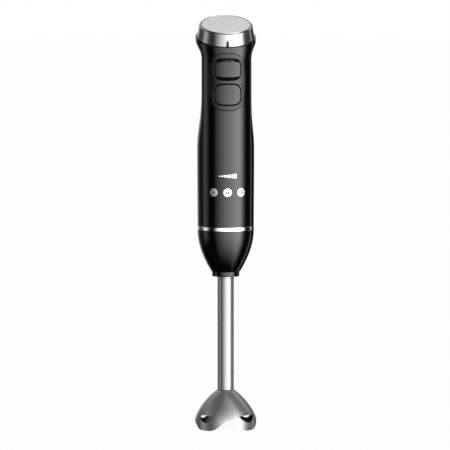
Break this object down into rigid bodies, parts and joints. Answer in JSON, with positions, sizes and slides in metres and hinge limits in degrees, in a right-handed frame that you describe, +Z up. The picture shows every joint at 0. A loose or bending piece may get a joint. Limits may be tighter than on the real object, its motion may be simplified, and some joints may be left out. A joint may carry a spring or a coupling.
{
  "type": "immersion blender",
  "caption": "Hand-held stick blender: grip with tilted speed dial and two push buttons, and a detachable steel blending stick with a guarded blade.",
  "frame": {"origin": "on the standing surface under the blade guard's feet, on the drive axis", "axes": "+Z up along the drive axis, -Y towards the front with the buttons, +X to the right seen from the front"},
  "size_m": [0.0608, 0.0608, 0.4049],
  "materials": {
    "gloss_black": "moulded, high gloss",
    "soft_touch_black": "soft-touch, fine grain",
    "chrome": "polished plating",
    "satin_metal": "satin, spun",
    "stainless": "fine brushed",
    "blade_steel": "ground",
    "bronze": "sintered",
    "rubber": "matte",
    "nylon": "moulded",
    "dark_plastic": "moulded, satin",
    "screw_steel": "zinc plated",
    "copper": "enamelled wire",
    "magnet": "sintered ferrite",
    "lamination": "stacked sheet",
    "carbon": "pressed carbon",
    "board": "solder mask",
    "capacitor": "film case",
    "aluminium": "extruded"
  },
  "bodies": {
    "motor_unit": {"trim_band": "chrome", "bayonet_spigot": "dark_plastic", "spigot_screw_1": "screw_steel", "spigot_screw_2": "screw_steel", "spigot_screw_3": "screw_steel", "spigot_screw_4": "screw_steel", "motor_can": "stainless", "lower_bearing": "stainless", "upper_bearing": "stainless", "magnet_left": "magnet", "magnet_right": "magnet", "motor_end_cap": "dark_plastic", "brush_left": "carbon", "brush_right": "carbon", "lower_damper": "rubber", "upper_damper": "rubber", "front_shell": "gloss_black", "rear_shell": "gloss_black", "button_panel": "soft_touch_black", "low_switch": "dark_plastic", "turbo_switch": "dark_plastic", "control_board": "board", "suppression_capacitor": "capacitor", "heat_sink": "aluminium", "cord_gland": "rubber", "dial_base": "dark_plastic", "dial_screw_1": "screw_steel", "dial_screw_2": "screw_steel", "dial_screw_3": "screw_steel", "speed_pot": "dark_plastic"},
    "rotor": {"drive_dog": "nylon", "motor_shaft": "stainless", "cooling_fan": "dark_plastic", "armature_core": "lamination", "armature_winding": "copper", "commutator": "copper"},
    "dial": {"dial_cap": "chrome", "dial_plate": "satin_metal", "dial_pointer": "dark_plastic", "pot_shaft": "stainless"},
    "low_button": {"low_button": "soft_touch_black", "low_plunger": "nylon"},
    "turbo_button": {"turbo_button": "soft_touch_black", "turbo_plunger": "nylon"},
    "seal_ring": {"spigot_oring": "rubber"},
    "stick": {"blade_guard": "stainless", "bearing_housing": "dark_plastic", "lower_bush": "bronze", "lip_seal": "rubber", "shaft_tube": "stainless", "mid_bush": "nylon", "upper_bush": "bronze", "coupling_cone": "gloss_black", "socket_liner": "dark_plastic", "thrust_washer": "nylon"},
    "blade_unit": {"blade": "blade_steel", "blade_hub": "stainless", "blade_nut": "stainless", "drive_shaft": "stainless", "drive_socket": "nylon"}
  },
  "joints": [
    {"name": "speed_dial", "type": "hinge", "parent": "motor_unit", "child": "dial", "pos_m": [0, 0, 0.3842], "axis": [0, -0.3256, 0.9455], "range_deg": [-135, 135]},
    {"name": "low_button_press", "type": "slide", "parent": "motor_unit", "child": "low_button", "axis": [0, 1, 0], "range_m": [0, 0.0015], "stiffness_N_per_m": 1500, "springref_m": -0.0005},
    {"name": "turbo_button_press", "type": "slide", "parent": "motor_unit", "child": "turbo_button", "axis": [0, 1, 0], "range_m": [0, 0.0015], "stiffness_N_per_m": 1500, "springref_m": -0.0005},
    {"name": "rotor_spin", "type": "hinge", "parent": "motor_unit", "child": "rotor", "pos_m": [0, 0, 0.24], "axis": [0, 0, 1], "continuous": true},
    {"name": "stick_twist", "type": "hinge", "parent": "motor_unit", "child": "seal_ring", "pos_m": [0, 0, 0.19], "axis": [0, 0, 1], "range_deg": [0, 30]},
    {"name": "stick_pull", "type": "slide", "parent": "seal_ring", "child": "stick", "axis": [0, 0, -1], "range_m": [0, 0.05]},
    {"name": "blade_spin", "type": "hinge", "parent": "stick", "child": "blade_unit", "pos_m": [0, 0, 0.1], "axis": [0, 0, 1], "continuous": true}
  ],
  "couplings": [
    {"joint": "blade_spin", "follows": "rotor_spin", "ratio": 1}
  ]
}
